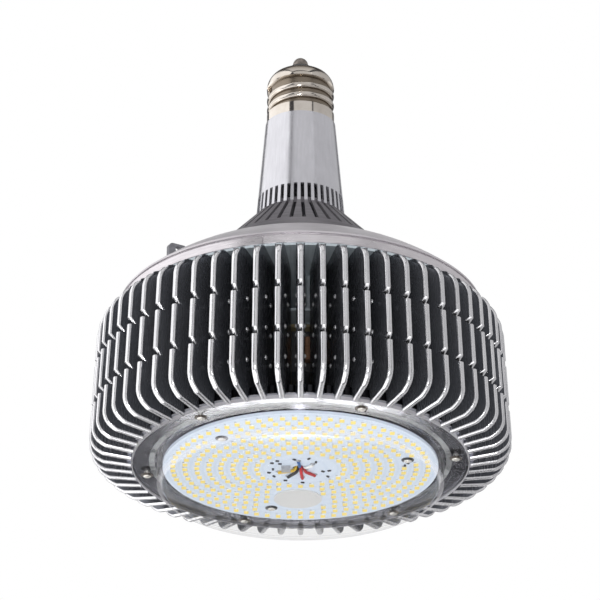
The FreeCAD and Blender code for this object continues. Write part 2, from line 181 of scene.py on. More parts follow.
soft_box("front_high", 8.5, 30.0, 52.0, 44.0, 0.5)
soft_box("front_low", 0.0, -14.0, 100.0, 44.0, 0.42)
soft_box("floor_glow", -55.8, -69.3, 70.0, 70.0, 1.25, shape="ELLIPSE", distance=floor_distance)
soft_box("right_floor", 50.0, -50.0, 36.0, 36.0, 0.45, distance=floor_distance)
soft_box("left", -87.5, 22.0, 85.0, 80.0, 1.0)
soft_box("left_low", -112.0, -31.0, 80.0, 42.0, 1.0)
soft_box("right", 93.0, 22.0, 84.0, 76.0, 0.4)
soft_box("right_low", 112.0, -31.0, 80.0, 42.0, 0.35)
soft_box("flash", 0.0, -24.6, 8.0, 8.0, 32.0, lights_matt=True)
soft_box("top", 0.0, 80.0, 44.0, 44.0, 0.6, lights_matt=True)
soft_box("back", 180.0, 20.0, 40.0, 60.0, 0.5)
soft_box("back_low", 180.0, -40.0, 70.0, 17.0, 0.45)
soft_box("lens_glare", 180.25, -27.7, 6.5, 4.5, 5.5)

# %% [markdown]
# ## Node groups that several finishes share
# Three effects return on many pieces, so each is built once as a shader node group. Grain is a noise drawn out in one
# direction, as rolling and turning leave it. Soiling is a soft, blotchy mask for dust and handling. Round places give
# the distance from the lamp's axis and the angle round it, which turned grain and the thread need.

# %% Shared shader groups
grain_detail = 3.0
soil_detail = 5.0
soil_breakup = 0.62
soil_low, soil_high = 0.42, 0.72


def new_group(name, inputs, outputs):
    """Shader group that reads a vector and some values; gives the tree and its input and output nodes."""
    tree = bpy.data.node_groups.new(name, "ShaderNodeTree")
    tree.interface.new_socket("Vector", in_out="INPUT", socket_type="NodeSocketVector")
    for socket, kind, value in inputs:
        tree.interface.new_socket(socket, in_out="INPUT", socket_type=kind).default_value = value
    for socket in outputs:
        tree.interface.new_socket(socket, in_out="OUTPUT", socket_type="NodeSocketFloat")
    return tree, tree.nodes.new("NodeGroupInput"), tree.nodes.new("NodeGroupOutput")


def span(tree, value, low, high, to_low=0.0, to_high=1.0):
    """Map Range node: low..high becomes to_low..to_high, and stays inside it."""
    node = tree.nodes.new("ShaderNodeMapRange")
    tree.links.new(value, node.inputs["Value"])
    for socket, number in (("From Min", low), ("From Max", high), ("To Min", to_low), ("To Max", to_high)):
        node.inputs[socket].default_value = number
    return node.outputs["Result"]


def distance_from_axis(tree, x, y):
    squares = math_node(tree, "ADD", math_node(tree, "MULTIPLY", x, x), math_node(tree, "MULTIPLY", y, y))
    return math_node(tree, "SQRT", squares)


def grain_group():
    tree, enter, leave = new_group("drawn_grain", [("Stretch", "NodeSocketVector", (1.0, 1.0, 1.0)),
                                                   ("Scale", "NodeSocketFloat", 200.0)], ["Grain"])
    stretch = tree.nodes.new("ShaderNodeVectorMath")
    stretch.operation = "MULTIPLY"
    noise = tree.nodes.new("ShaderNodeTexNoise")
    noise.inputs["Detail"].default_value = grain_detail
    tree.links.new(enter.outputs["Vector"], stretch.inputs[0])
    tree.links.new(enter.outputs["Stretch"], stretch.inputs[1])
    tree.links.new(stretch.outputs["Vector"], noise.inputs["Vector"])
    tree.links.new(enter.outputs["Scale"], noise.inputs["Scale"])
    tree.links.new(noise.outputs["Fac"], leave.inputs["Grain"])
    return tree


def soiling_group():
    tree, enter, leave = new_group("soiling", [("Scale", "NodeSocketFloat", 30.0),
                                               ("Amount", "NodeSocketFloat", 0.3)], ["Mask"])
    noise = tree.nodes.new("ShaderNodeTexNoise")
    noise.inputs["Detail"].default_value = soil_detail
    noise.inputs["Roughness"].default_value = soil_breakup
    tree.links.new(enter.outputs["Vector"], noise.inputs["Vector"])
    tree.links.new(enter.outputs["Scale"], noise.inputs["Scale"])
    blotch = span(tree, noise.outputs["Fac"], soil_low, soil_high)
    tree.links.new(math_node(tree, "MULTIPLY", blotch, enter.outputs["Amount"]), leave.inputs["Mask"])
    return tree


def round_group():
    tree, enter, leave = new_group("round_places", [], ["Radius", "Turn"])
    split = tree.nodes.new("ShaderNodeSeparateXYZ")
    tree.links.new(enter.outputs["Vector"], split.inputs[0])
    x, y = split.outputs["X"], split.outputs["Y"]
    tree.links.new(distance_from_axis(tree, x, y), leave.inputs["Radius"])
    angle = math_node(tree, "ARCTAN2", y, x)
    turn = math_node(tree, "FRACT", math_node(tree, "DIVIDE", angle, 2 * math.pi))
    tree.links.new(turn, leave.inputs["Turn"])
    return tree


GRAIN, SOILING, ROUND = grain_group(), soiling_group(), round_group()
print("shader groups:", GRAIN.name, SOILING.name, ROUND.name)

# %% [markdown]
# ## A finish, step by step
# Every finish starts from one Principled shader. Plain numbers go straight on its sockets. What changes over the
# surface goes through the groups: two tones mixed by grain or soiling, a roughness that follows the same mask and a
# fine bump. All patterns read Object coordinates, so they stay put on the piece in every view.

# %% A finish, step by step
grain_low, grain_high = 0.3, 0.7


class Finish:
    """One material under construction: its tree, its shader and its Object coordinates."""

    def __init__(self, name, metallic=0.0, roughness=0.5, **sockets):
        self.material = bpy.data.materials.new(name)
        self.material.use_nodes = True
        self.tree = self.material.node_tree
        self.shader = self.tree.nodes["Principled BSDF"]
        self.coords = self.tree.nodes.new("ShaderNodeTexCoord").outputs["Object"]
        self.set("Metallic", metallic)
        self.set("Roughness", roughness)
        for socket, value in sockets.items():
            self.set(socket.replace("_", " "), value)

    def set(self, socket, value):
        self.shader.inputs[socket].default_value = value

    def link(self, value, socket):
        self.tree.links.new(value, self.shader.inputs[socket])

    def calc(self, operation, first, second=None, clamp=False):
        return math_node(self.tree, operation, first, second, clamp)

    def spread(self, grain, to_low=0.0, to_high=1.0):
        """The usual range of a grain, spread over a range of values."""
        return span(self.tree, grain, grain_low, grain_high, to_low, to_high)

    def group(self, tree, **values):
        node = self.tree.nodes.new("ShaderNodeGroup")
        node.node_tree = tree
        self.tree.links.new(self.coords, node.inputs["Vector"])
        for socket, value in values.items():
            node.inputs[socket].default_value = value
        return node.outputs

    def mark(self, attribute):
        """Number that was written on the faces of a mesh."""
        node = self.tree.nodes.new("ShaderNodeAttribute")
        node.attribute_name = attribute
        return node.outputs["Fac"]

    def mix(self, factor, first, second):
        """Colour mix; first and second are colours or sockets."""
        node = self.tree.nodes.new("ShaderNodeMix")
        node.data_type = "RGBA"
        self.tree.links.new(factor, node.inputs["Factor"])
        for socket, value in (("A", first), ("B", second)):
            if isinstance(value, tuple):
                node.inputs[socket].default_value = (*value, 1.0)
            else:
                self.tree.links.new(value, node.inputs[socket])
        return node.outputs["Result"]

    def bump(self, height, strength, distance):
        node = self.tree.nodes.new("ShaderNodeBump")
        node.inputs["Strength"].default_value = strength
        node.inputs["Distance"].default_value = distance
        self.tree.links.new(height, node.inputs["Height"])
        self.link(node.outputs["Normal"], "Normal")


print("grain is read from", grain_low, "to", grain_high)

# %% [markdown]
# ## Grained finishes
# Most pieces are lacquered, drawn or moulded, and differ only in their tones, their gloss and the direction of their
# grain. Each could have a material of its own, but one function with a few values keeps them alike: grain moves the
# tone, the roughness and a very fine bump together, and soiling darkens and dulls.

# %% Grained finishes
grain_bump = 0.35
fine_depth = 0.02 * MM
soil_scale = 28.0
soiled_tone = 0.55
soiled_roughness = 0.3


def grained(name, light, dark, metallic, roughness, stretch, scale, soil=0.25, depth=fine_depth):
    """Metal, lacquer or moulding with grain: two tones, a roughness range and a fine bump."""
    finish = Finish(name, metallic=metallic)
    grain = finish.group(GRAIN, Stretch=stretch, Scale=scale)["Grain"]
    mask = finish.group(SOILING, Scale=soil_scale, Amount=soil)["Mask"]
    tone = finish.mix(finish.spread(grain), light, dark)
    finish.link(finish.mix(mask, tone, tuple(soiled_tone * c for c in dark)), "Base Color")
    worn = finish.calc("MULTIPLY", mask, soiled_roughness)
    finish.link(finish.calc("ADD", finish.spread(grain, *roughness), worn, clamp=True), "Roughness")
    finish.bump(grain, grain_bump, depth)
    return finish


def dress(finish, *names):
    """Puts a finish on CAD nodes, which keep their own meshes."""
    for name in names:
        mesh = nodes[name].data
        mesh.materials.clear()
        mesh.materials.append(finish.material)


print("soiled places keep", soiled_tone, "of the dark tone")

# %% [markdown]
# ## Metals and lacquers of the housing
# The neck, cone and cover are lacquered sheet and castings with a soft sheen; the hoop, rings and plates are
# aluminium. Spun pieces carry fine rings, so their grain changes quickly along the axis and slowly across it, and on
# the neck it is the other way round. One row of a table is enough for each of them.

# %% Housing finishes
ring_grain = (0.08, 0.08, 1.0)
sheet_grain = (1.0, 1.0, 0.06)
flat_grain = (1.0, 0.1, 1.0)
even_grain = (1.0, 1.0, 1.0)

# Name, light and dark tone, metallic, roughness, grain with its scale, soiling, and the pieces that wear it
housing_finishes = (
    ("neck_lacquer", (0.64, 0.635, 0.67), (0.60, 0.595, 0.63), 0.85, (0.16, 0.22), sheet_grain, 900.0, 0.18,
     ["neck_housing"]),
    ("cone_lacquer", (0.175, 0.165, 0.18), (0.125, 0.118, 0.13), 0.35, (0.36, 0.5), ring_grain, 700.0, 0.3,
     ["vent_cone"]),
    ("cover_lacquer", (0.62, 0.595, 0.62), (0.54, 0.515, 0.54), 0.6, (0.30, 0.40), ring_grain, 700.0, 0.25,
     ["top_cover"]),
    ("hoop_aluminium", (0.76, 0.725, 0.75), (0.64, 0.605, 0.63), 0.85, (0.25, 0.35), ring_grain, 1200.0, 0.25,
     ["rim_hoop"]),
    ("dull_aluminium", (0.50, 0.56, 0.60), (0.40, 0.45, 0.48), 0.2, (0.38, 0.55), flat_grain, 600.0, 0.35,
     ["tie_ring", "carrier_plate", "driver_plate", "plate_posts", "circuit_spacers"]),
    ("lug_zinc", (0.20, 0.20, 0.22), (0.14, 0.14, 0.155), 0.3, (0.4, 0.55), even_grain, 900.0, 0.4,
     ["safety_lug"]),
    ("contact_brass", (0.30, 0.265, 0.24), (0.16, 0.14, 0.125), 0.8, (0.3, 0.5), even_grain, 500.0, 0.5,
     ["centre_contact"]),
    ("dark_insulator", (0.035, 0.032, 0.035), (0.02, 0.02, 0.022), 0.0, (0.12, 0.3), even_grain, 300.0, 0.4,
     ["base_insulator"]),
)
for *look, pieces in housing_finishes:
    dress(grained(*look), *pieces)
print("housing dressed:", len(housing_finishes), "finishes")

# %% [markdown]
# ## The turned plate and the plated shell
# Two pieces need more than grain. The base plate was faced on a lathe, so a sine of the distance from the axis draws
# fine rings on it, and its upright rim is painted nearly black as painted shade. The screw shell is nickel plated:
# polished on the crests, where a lamp holder rubs it, and dull in the grooves, which are also painted darker as
# painted shade. Both finishes read the radius, which needs no unwrapping.

# %% Turned plate and plated shell
shell_grain = (0.4, 0.4, 1.0)
lathe_waves = 9000.0
shade_rim_from, shade_rim_to = 95.2 * MM, 95.8 * MM
root_r, crest_r = 17.9 * MM, 19.5 * MM


def turned_aluminium():
    """Fine rings from the lathe, and an upright rim painted nearly black as painted shade."""
    finish = Finish("turned_aluminium", metallic=1.0)
    radius = finish.group(ROUND)["Radius"]
    ring = finish.calc("SINE", finish.calc("MULTIPLY", radius, lathe_waves))
    grain = finish.group(GRAIN, Stretch=even_grain, Scale=260.0)["Grain"]
    rings = span(finish.tree, finish.calc("ADD", ring, grain), -1.0, 2.0)
    mask = finish.group(SOILING, Scale=24.0, Amount=0.15)["Mask"]
    tone = finish.mix(rings, (0.28, 0.28, 0.315), (0.24, 0.24, 0.27))
    # Painted shade: the upright rim at the outer edge of the plate is painted nearly black.
    tone = finish.mix(span(finish.tree, radius, shade_rim_from, shade_rim_to), tone, (0.012, 0.012, 0.014))
    finish.link(finish.mix(mask, tone, (0.18, 0.18, 0.20)), "Base Color")
    finish.link(finish.spread(grain, 0.14, 0.18), "Roughness")
    return finish


def nickel_shell():
    """Polished crests and dull grooves, with the grooves painted darker as painted shade."""
    finish = Finish("nickel_shell", metallic=1.0)
    crest = span(finish.tree, finish.group(ROUND)["Radius"], root_r, crest_r)
    grain = finish.group(GRAIN, Stretch=shell_grain, Scale=700.0)["Grain"]
    mask = finish.group(SOILING, Scale=70.0, Amount=0.35)["Mask"]
    # Painted shade: the tone darkens from the crest to the root of the thread, where shade falls in the grooves.
    metal = finish.mix(crest, (0.24, 0.20, 0.16), (0.72, 0.665, 0.605))
    finish.link(finish.mix(mask, metal, (0.30, 0.25, 0.19)), "Base Color")
    polish = span(finish.tree, crest, 0.0, 1.0, 0.26, 0.06)
    finish.link(finish.calc("ADD", polish, finish.calc("MULTIPLY", grain, 0.08)), "Roughness")
    finish.bump(grain, 0.2, fine_depth)
    return finish


dress(turned_aluminium(), "base_plate")
dress(nickel_shell(), "screw_shell")
print("lathe rings", round(2 * math.pi / lathe_waves / MM, 2), "mm apart")

# %% [markdown]
# ## The driver and the wiring
# Between the fins one sees a little of the driver: a copper winding, pale boxes and dark parts. They get plain
# moulded, sintered and wound finishes. The wires that come through the board are one CAD piece, so their colours are
# chosen by the angle round the lamp's axis at which each wire leaves the hole.

# %% Driver and wire finishes
wound_grain = (0.2, 0.2, 3.0)
wound_depth = 0.2 * MM

# Name, light and dark tone, metallic, roughness, grain with its scale, soiling, sometimes depth, and the piece
driver_finishes = (
    ("tan_board", (0.30, 0.25, 0.14), (0.22, 0.18, 0.10), 0.0, (0.45, 0.6), even_grain, 400.0, 0.25,
     "driver_circuit"),
    ("dark_ferrite", (0.06, 0.06, 0.065), (0.035, 0.035, 0.04), 0.1, (0.5, 0.7), even_grain, 900.0, 0.25,
     "transformer_core"),
    ("copper_winding", (0.42, 0.23, 0.14), (0.25, 0.13, 0.08), 0.7, (0.3, 0.45), wound_grain, 900.0, 0.25,
     wound_depth, "transformer_winding"),
    ("capacitor_sleeve", (0.05, 0.05, 0.06), (0.03, 0.03, 0.036), 0.0, (0.25, 0.4), even_grain, 300.0, 0.25,
     "driver_capacitors"),
    ("beige_casing", (0.62, 0.52, 0.33), (0.52, 0.43, 0.27), 0.0, (0.4, 0.55), even_grain, 500.0, 0.25,
     "film_boxes"),
    ("lead_insulation", (0.06, 0.06, 0.065), (0.04, 0.04, 0.045), 0.0, (0.45, 0.6), even_grain, 500.0, 0.25,
     "supply_leads"),
    ("grey_casing", (0.42, 0.43, 0.45), (0.34, 0.35, 0.37), 0.0, (0.4, 0.55), even_grain, 600.0, 0.25,
     "led_connector"),
    ("grey_seal", (0.40, 0.41, 0.42), (0.33, 0.34, 0.35), 0.0, (0.6, 0.75), even_grain, 500.0, 0.25,
     "lens_gasket"),
    ("frosted_blank", (0.72, 0.72, 0.71), (0.68, 0.68, 0.67), 0.0, (0.45, 0.6), even_grain, 900.0, 0.1,
     "sensor_blank"),
)
# Angle at which a colour starts, in degrees
wire_bands = (
    (0.0, (0.46, 0.03, 0.035)),
    (65.5, (0.60, 0.025, 0.03)),
    (104.5, (0.012, 0.012, 0.014)),
    (143.5, (0.80, 0.52, 0.03)),
    (213.5, (0.05, 0.15, 0.40)),
    (289.5, (0.86, 0.86, 0.85)),
)


def wire_insulation():
    finish = Finish("wire_insulation", roughness=0.42)
    ramp = finish.tree.nodes.new("ShaderNodeValToRGB")
    ramp.color_ramp.interpolation = "CONSTANT"
    stops = ramp.color_ramp.elements
    stops[1].position = wire_bands[-1][0] / 360.0
    stops[1].color = (*wire_bands[-1][1], 1.0)
    stops[0].color = (*wire_bands[0][1], 1.0)
    for start, colour in wire_bands[1:-1]:
        stops.new(start / 360.0).color = (*colour, 1.0)
    finish.tree.links.new(finish.group(ROUND)["Turn"], ramp.inputs["Fac"])
    mask = finish.group(SOILING, Scale=160.0, Amount=0.25)["Mask"]
    finish.link(finish.mix(mask, ramp.outputs["Color"], (0.12, 0.11, 0.10)), "Base Color")
    return finish


small_finishes = {}
for *look, piece in driver_finishes:
    small_finishes[look[0]] = grained(*look)
    dress(small_finishes[look[0]], piece)
dress(wire_insulation(), "board_wires")
print("driver dressed:", len(driver_finishes) + 1, "finishes")

# %% [markdown]
# ## The LED board
# The board is white solder mask over copper. Faint rings of copper show through the mask between the rows of LEDs.
# They could be painted on an image, but the radius and a Ping-Pong step give the same rings with two sizes, the first
# ring and the distance to the next, which the LEDs use as well.

# %% The LED board
led_ring_step = 6.6 * MM
led_first_ring = 24.2 * MM
copper_from, copper_to = 0.36, 0.42
copper_depth = 0.04 * MM


def white_board():
    finish = Finish("white_board", roughness=0.42)
    from_first = finish.calc("SUBTRACT", finish.group(ROUND)["Radius"], led_first_ring)
    wave = finish.calc("PINGPONG", finish.calc("DIVIDE", from_first, led_ring_step), 0.5)
    copper = span(finish.tree, wave, copper_from, copper_to)
    mask = finish.group(SOILING, Scale=40.0, Amount=0.35)["Mask"]
    tone = finish.mix(copper, (0.70, 0.785, 0.90), (0.64, 0.73, 0.86))
    finish.link(finish.mix(mask, tone, (0.64, 0.71, 0.82)), "Base Color")
    finish.bump(copper, 0.2, copper_depth)
    return finish


dress(white_board(), "led_board")
print("board dressed: copper rings", round(led_ring_step / MM, 1), "mm apart")

# %% [markdown]
# ## The clear lens
# The lens is clear moulded plastic. True refraction all over would only add noise to the board, so the tray is a clear
# sheet with a Fresnel gloss, smooth on its floor and rougher on its wall and flange, and it is real glass only at the
# flange's outer edge. The moulded corner and that edge get a little haze, which is how they show against white. Light
# Path lets shadow and diffuse rays pass straight through.

# %% The clear lens
lens_index = 1.49
lens_tint = (0.97, 0.98, 0.985, 1.0)
haze_tint = (0.72, 0.71, 0.74, 1.0)
corner_haze = 0.24
corner_r = 77.7 * MM
corner_reach = 1.5 * MM
corner_rise = 2.6 * MM
edge_r = 92.6 * MM
edge_haze = 0.45
wall_low, wall_high = 3.0 * MM, 13.2 * MM
wall_blend, flange_blend = 1.0 * MM, 0.2 * MM
floor_gloss, wall_gloss, flange_smoother = 0.03, 0.3, 0.2


def clear_plastic():
    finish = Finish("clear_lens", Transmission_Weight=1.0, IOR=lens_index)
    finish.set("Base Color", lens_tint)
    tree = finish.tree
    scuffs = finish.group(GRAIN, Stretch=even_grain, Scale=60.0)["Grain"]
    finish.link(span(tree, scuffs, 0.5, 0.8, 0.0, 0.03), "Roughness")
    fresnel = tree.nodes.new("ShaderNodeFresnel")
    fresnel.inputs["IOR"].default_value = lens_index
    clear = tree.nodes.new("ShaderNodeBsdfTransparent")
    gloss = tree.nodes.new("ShaderNodeBsdfGlossy")
    matt = tree.nodes.new("ShaderNodeBsdfDiffuse")
    matt.inputs["Color"].default_value = haze_tint
    split = tree.nodes.new("ShaderNodeSeparateXYZ")
    tree.links.new(finish.coords, split.inputs[0])
    x, y, height = split.outputs
    radius = distance_from_axis(tree, x, y)
    wall = span(tree, height, wall_low, wall_low + wall_blend, floor_gloss, wall_gloss)
    flange = span(tree, height, wall_high, wall_high + flange_blend, 0.0, flange_smoother)
    tree.links.new(finish.calc("SUBTRACT", wall, flange), gloss.inputs["Roughness"])
    from_corner = finish.calc("ABSOLUTE", finish.calc("SUBTRACT", radius, corner_r))
    corner = finish.calc("MULTIPLY", finish.calc("LESS_THAN", from_corner, corner_reach),
                         finish.calc("LESS_THAN", height, corner_rise))
    edge = finish.calc("GREATER_THAN", radius, edge_r)
    haze = finish.calc("ADD", finish.calc("MULTIPLY", corner, corner_haze), finish.calc("MULTIPLY", edge, edge_haze))
    path = tree.nodes.new("ShaderNodeLightPath")
    passing = finish.calc("MAXIMUM", path.outputs["Is Shadow Ray"], path.outputs["Is Diffuse Ray"])

    def either(factor, first, second):
        node = tree.nodes.new("ShaderNodeMixShader")
        tree.links.new(factor, node.inputs["Fac"])
        tree.links.new(first, node.inputs[1])
        tree.links.new(second, node.inputs[2])
        return node.outputs["Shader"]

    facing = tree.nodes.new("ShaderNodeNewGeometry")
    outer = finish.calc("SUBTRACT", 1.0, facing.outputs["Backfacing"])
    shine = finish.calc("MULTIPLY", fresnel.outputs["Fac"], outer)
    sheet = either(shine, clear.outputs["BSDF"], gloss.outputs["BSDF"])
    moulded = either(haze, either(edge, sheet, finish.shader.outputs["BSDF"]), matt.outputs["BSDF"])
    seen = either(passing, moulded, clear.outputs["BSDF"])
    tree.links.new(seen, tree.nodes["Material Output"].inputs["Surface"])
    return finish


dress(clear_plastic(), "lens")
print("lens dressed: index", lens_index)

# %% [markdown]
# ## Growing repeated pieces
# Geometry Nodes repeat a shape by a rule. Each tree below is built in the script with named inputs, and ends in
# Realize Instances and Set Material. The helper sets the inputs by their identifiers, takes the evaluated result as
# a plain mesh and drops the modifier, so that what rides on the lamp is an ordinary mesh.

# %% Geometry Nodes helpers
def new_tree(name, inputs):
    """Geometry tree with named inputs; gives the tree and its input and output nodes."""
    tree = bpy.data.node_groups.new(name, "GeometryNodeTree")
    tree.interface.new_socket("Geometry", in_out="INPUT", socket_type="NodeSocketGeometry")
    for socket, kind in inputs:
        tree.interface.new_socket(socket, in_out="INPUT", socket_type=kind)
    tree.interface.new_socket("Geometry", in_out="OUTPUT", socket_type="NodeSocketGeometry")
    return tree, tree.nodes.new("NodeGroupInput"), tree.nodes.new("NodeGroupOutput")


def place_copies(tree, enter, leave, points, rotation=None):
    """Last part of every tree: copies of the source on the points, made real, with their finish."""
    source = tree.nodes.new("GeometryNodeObjectInfo")
    copies = tree.nodes.new("GeometryNodeInstanceOnPoints")
    real = tree.nodes.new("GeometryNodeRealizeInstances")
    coat = tree.nodes.new("GeometryNodeSetMaterial")
    tree.links.new(enter.outputs["Source"], source.inputs["Object"])
    tree.links.new(points, copies.inputs["Points"])
    tree.links.new(source.outputs["Geometry"], copies.inputs["Instance"])
    if rotation:
        tree.links.new(rotation, copies.inputs["Rotation"])
    tree.links.new(copies.outputs["Instances"], real.inputs["Geometry"])
    tree.links.new(real.outputs["Geometry"], coat.inputs["Geometry"])
    tree.links.new(enter.outputs["Finish"], coat.inputs["Material"])
    tree.links.new(coat.outputs["Geometry"], leave.inputs["Geometry"])


def turn_about_axis(tree, angle):
    turn = tree.nodes.new("ShaderNodeCombineXYZ")
    tree.links.new(angle, turn.inputs["Z"])
    return turn.outputs["Vector"]


def grow(name, tree, source, finish, **values):
    """Runs a tree once and gives back the result as a plain mesh object."""
    holder = bpy.data.objects.new(name + "_holder", bpy.data.meshes.new(name))
    scene.collection.objects.link(holder)
    modifier = holder.modifiers.new("grow", "NODES")
    modifier.node_group = tree
    values = dict(values, Source=source, Finish=finish.material)
    for item in tree.interface.items_tree:
        if item.item_type == "SOCKET" and item.in_out == "INPUT" and item.name in values:
            modifier[item.identifier] = values[item.name]
    depsgraph = bpy.context.evaluated_depsgraph_get()
    mesh = bpy.data.meshes.new_from_object(holder.evaluated_get(depsgraph))
    holder.modifiers.remove(modifier)
    bpy.data.objects.remove(holder)
    mesh.name = name
    piece = bpy.data.objects.new(name, mesh)
    scene.collection.objects.link(piece)
    print(name, "faces", len(mesh.polygons))
    return piece


def mesh_from(form, name):
    mesh = bpy.data.meshes.new(name)
    form.to_mesh(mesh)
    form.free()
    made = bpy.data.objects.new(name, mesh)
    scene.collection.objects.link(made)
    return made


def settle(piece, slot, *replaced):
    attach(piece, "root")
    if replaced:
        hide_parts(*replaced)


print("growing helpers ready")

# %% [markdown]
# ## One folded fin
# A fin is one strip of bright sheet folded to a narrow channel: a web outside and two walls that run in towards the
# axis. The web comes down to a slanted foot in two bends. Two notches are lanced in it, and the lip above each is
# pushed in, open at the left. The outline of the web is followed station by station, slightly crowned and with rounded
# folds at both edges; a Solidify modifier then gives the sheet its thickness. Round pips on the walls keep
# neighbouring sheets apart in the stack.

# %% The outline of a fin
fin_low, fin_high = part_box("cooling_fins")
base_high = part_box("base_plate")[1]
fin_outer_r = fin_high.x
fin_lean = 2.7 * MM
fin_inner_r = 72.0 * MM
fin_floor, fin_top = fin_low.z, fin_high.z
foot_rise = 7.2 * MM
foot_run = 8.0 * MM
heel_drop = 4.8 * MM
ankle_bend_r, ankle_steps = 10.0 * MM, 5
heel_bend_r, heel_steps = 6.0 * MM, 4
high_bend_r, high_steps = 12.0 * MM, 5
web_end_angle = 50.0
rim_slot = 2.3 * MM
web_start_r = base_high.x - rim_slot
notch_bottoms = [fin_floor + rise * MM for rise in (28.1, 55.0)]
notch_gap = 1.0 * MM
notch_tall = 4.2 * MM
notch_deep = 3.2 * MM
notch_skew = 2.0 * MM


def arc(middle, radius, start, end, steps):
    """Points of a bend with their directions into the channel."""
    points = []
    for step in range(steps + 1):
        angle = math.radians(start + (end - start) * step / steps)
        out = Vector((math.cos(angle), math.sin(angle)))
        points.append((middle + out * radius, -out, 0.0))
    return points


def bend(before, corner, after, radius, steps):
    """Rounds one corner of the outline."""
    back, ahead = (before - corner).normalized(), (after - corner).normalized()
    half = back.angle(ahead) / 2
    middle = corner + (back + ahead).normalized() * (radius / math.sin(half))
    ends = [corner + way * (radius / math.tan(half)) - middle for way in (back, ahead)]
    return arc(middle, radius, *[math.degrees(math.atan2(e.y, e.x)) for e in ends], steps)


def web_stations():
    """Strips of the web's outer face: place, direction into the channel, lift of the lip at its open side."""
    high = Vector((fin_outer_r - fin_lean - high_bend_r, fin_top - high_bend_r))
    start = Vector((web_start_r, fin_floor))
    ankle = Vector((fin_outer_r, fin_floor + foot_rise))
    heel = ankle - Vector((foot_run, heel_drop))
    gap = ankle - high
    lean = math.atan2(gap.x, -gap.y) - math.asin(high_bend_r / gap.length)
    out = Vector((math.cos(lean), math.sin(lean)))
    up = Vector((-out.y, out.x))

    def web(height):
        return ankle + up * ((height - ankle.y) / up.y)

    strip = [(start, Vector((0.0, 1.0)), 0.0)]
    strip += bend(start, heel, ankle, heel_bend_r, heel_steps)
    strip += bend(heel, ankle, web(fin_top), ankle_bend_r, ankle_steps)
    strips = []
    for bottom in notch_bottoms:
        strips.append(strip + [(web(bottom), -out, 0.0)])
        lip = web(bottom + notch_gap) - out * notch_deep
        strip = [(lip, -out, notch_skew), (web(bottom + notch_tall), -out, 0.0)]
    strips.append(strip + arc(high, high_bend_r, math.degrees(lean), web_end_angle, high_steps))
    return strips, high


strips, high_bend = web_stations()
print("stations:", sum(len(s) for s in strips))

# %% [markdown]
# ## The sheet of the fin
# Each station of the outline gets a row of points across the web, and neighbouring rows are joined with faces. The two
# walls are one large face each, which is split into triangles later. A number on every face says whether it is wall,
# web or pip, so that one finish can treat them differently.

# %% The fin's sheet
fin_half = 1.62 * MM
crown_angle = 18.0
crown_half = 0.85 * MM
section_angles = (90.0, 72.0, 54.0, 36.0, 18.0, 9.0)
shoulder_angles = (web_end_angle + 8.0, 70.0, 80.0, 90.0)
lip_hinge = 0.5
wall_number, web_number, pip_number = 0.0, 1.0, 2.0


def across_web():
    """Section of the web from fold to fold: sideways place, depth into the channel."""
    edge_sine, edge_cosine = math.sin(math.radians(crown_angle)), math.cos(math.radians(crown_angle))
    crown_r = crown_half / edge_sine
    fold_r = (fin_half - crown_half) / (1.0 - edge_sine)
    side = []
    for angle in section_angles:
        sine, cosine = math.sin(math.radians(angle)), math.cos(math.radians(angle))
        if angle > crown_angle:
            place, depth = crown_half + fold_r * (sine - edge_sine), fold_r * (edge_cosine - cosine)
            depth += crown_r * (1.0 - edge_cosine)
        else:
            place, depth = crown_r * sine, crown_r * (1.0 - cosine)
        side.append((-place, depth))
    return side + [(0.0, 0.0)] + [(-y, depth) for y, depth in reversed(side)]


def fin_sheet_form():
    form = bmesh.new()
    web_mark = form.faces.layers.float.new("web")
    section = across_web()
    rows = []
    for strip in strips:
        start = len(rows)
        for place, into, lift in strip:
            row = []
            for y, depth in section:
                spot = place + into * depth
                open_side = max(0.0, lip_hinge - y / fin_half) / (1.0 + lip_hinge)
                row.append(form.verts.new((spot.x, y, spot.y + lift * open_side)))
            rows.append(row)
        for below, above in zip(rows[start:], rows[start + 1:]):
            for column in range(len(section) - 1):
                face = form.faces.new((below[column], below[column + 1], above[column + 1], above[column]))
                face[web_mark] = web_number
    shoulder = [math.radians(angle) for angle in shoulder_angles]
    edge = [(high_bend.x + high_bend_r * math.cos(a), high_bend.y + high_bend_r * math.sin(a)) for a in shoulder]
    edge += [(fin_inner_r, fin_top), (fin_inner_r, base_high.z), (web_start_r, base_high.z)]
    for column, side in ((0, -fin_half), (len(section) - 1, fin_half)):
        loop = [row[column] for row in rows] + [form.verts.new((x, side, z)) for x, z in edge]
        form.faces.new(loop if side > 0 else loop[::-1])
    return form


print("web section:", len(across_web()), "points across")

# %% [markdown]
# ## Thickness and pips
# A sheet without thickness looks like paper, so a Solidify modifier gives it 0.8 mm towards the inside. The pips are
# small spheres, half sunk in the walls. Edges that are sharper than the crease angle stay hard, so that the folds look
# round and the cut edges look cut.

# %% Thickness and pips
fin_sheet = 0.8 * MM
pip_r = 1.5 * MM
pip_places = [(r * MM, z * MM) for z in (35.3, 52.8, 70.8) for r in (87.0, 98.0)]
fin_crease = 32.0


def evaluated_form(piece):
    """Form of an object with its modifiers applied; the object goes."""
    depsgraph = bpy.context.evaluated_depsgraph_get()
    form = bmesh.new()
    form.from_mesh(bpy.data.meshes.new_from_object(piece.evaluated_get(depsgraph)))
    bpy.data.objects.remove(piece)
    return form


def shade_smooth(form, crease):
    """Smooth faces, with hard edges where they meet at more than the crease angle in degrees."""
    for face in form.faces:
        face.smooth = True
    for edge in form.edges:
        edge.smooth = len(edge.link_faces) == 2 and edge.calc_face_angle(math.pi) < math.radians(crease)


